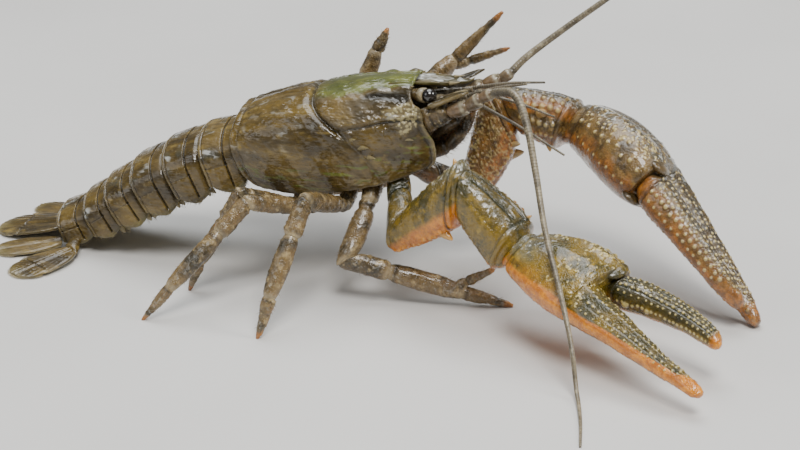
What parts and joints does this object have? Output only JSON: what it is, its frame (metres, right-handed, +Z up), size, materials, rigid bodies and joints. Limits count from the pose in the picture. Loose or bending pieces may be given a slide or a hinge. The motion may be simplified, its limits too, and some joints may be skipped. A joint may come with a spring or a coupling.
{
  "type": "crayfish",
  "caption": "Freshwater crayfish standing on its walking legs, with long knobbly claws reaching forward, long feelers, a narrow beak between stalked eyes and a spread tail fan.",
  "frame": {"origin": "centre of the bounding box on the floor plane that the feet stand on", "axes": "+X towards the head and claws, +Y towards the animal's left side, +Z up"},
  "size_m": [0.19, 0.1199, 0.0953],
  "materials": {
    "olive_shell": "smooth wet olive-brown shell with dark marbling",
    "claw_shell": "wet olive-gold shell with cream tubercles and an orange outer margin",
    "leg_shell": "tan-brown shell with pale tips",
    "under_shell": "pale buff shell",
    "eye": "glossy black",
    "feeler": "grey-brown, finely ringed"
  },
  "bodies": {
    "root": {"antenna_base_left": "leg_shell", "antenna_base_right": "leg_shell", "antenna_root_left": "feeler", "antenna_root_right": "feeler", "antenna_whip_left": "feeler", "antenna_whip_right": "feeler", "antennal_scale_left": "olive_shell", "antennal_scale_right": "olive_shell", "antennule_left": "leg_shell", "antennule_right": "leg_shell", "breast_plates": "under_shell", "carapace": "olive_shell", "claw_carpus_left": "claw_shell", "claw_carpus_right": "claw_shell", "claw_finger_left": "claw_shell", "claw_finger_right": "claw_shell", "claw_ischium_left": "under_shell", "claw_ischium_right": "under_shell", "claw_merus_left": "claw_shell", "claw_merus_right": "claw_shell", "claw_palm_left": "claw_shell", "claw_palm_right": "claw_shell", "eye_left": "eye", "eye_right": "eye", "eye_stalk_left": "leg_shell", "eye_stalk_right": "leg_shell", "face_plates": "under_shell", "inner_blade_left": "olive_shell", "inner_blade_right": "olive_shell", "jaw_leg_left": "leg_shell", "jaw_leg_right": "leg_shell", "leg2_finger_left": "leg_shell", "leg2_finger_right": "leg_shell", "leg2_shank_left": "leg_shell", "leg2_shank_right": "leg_shell", "leg2_thigh_left": "leg_shell", "leg2_thigh_right": "leg_shell", "leg3_shank_left": "leg_shell", "leg3_shank_right": "leg_shell", "leg3_thigh_left": "leg_shell", "leg3_thigh_right": "leg_shell", "leg4_shank_left": "leg_shell", "leg4_shank_right": "leg_shell", "leg4_thigh_left": "leg_shell", "leg4_thigh_right": "leg_shell", "leg5_shank_left": "leg_shell", "leg5_shank_right": "leg_shell", "leg5_thigh_left": "leg_shell", "leg5_thigh_right": "leg_shell", "outer_blade_left": "olive_shell", "outer_blade_right": "olive_shell", "tail_segment_1": "olive_shell", "tail_segment_2": "olive_shell", "tail_segment_3": "olive_shell", "tail_segment_4": "olive_shell", "tail_segment_5": "olive_shell", "tail_segment_6": "olive_shell", "telson": "olive_shell"}
  },
  "joints": []
}
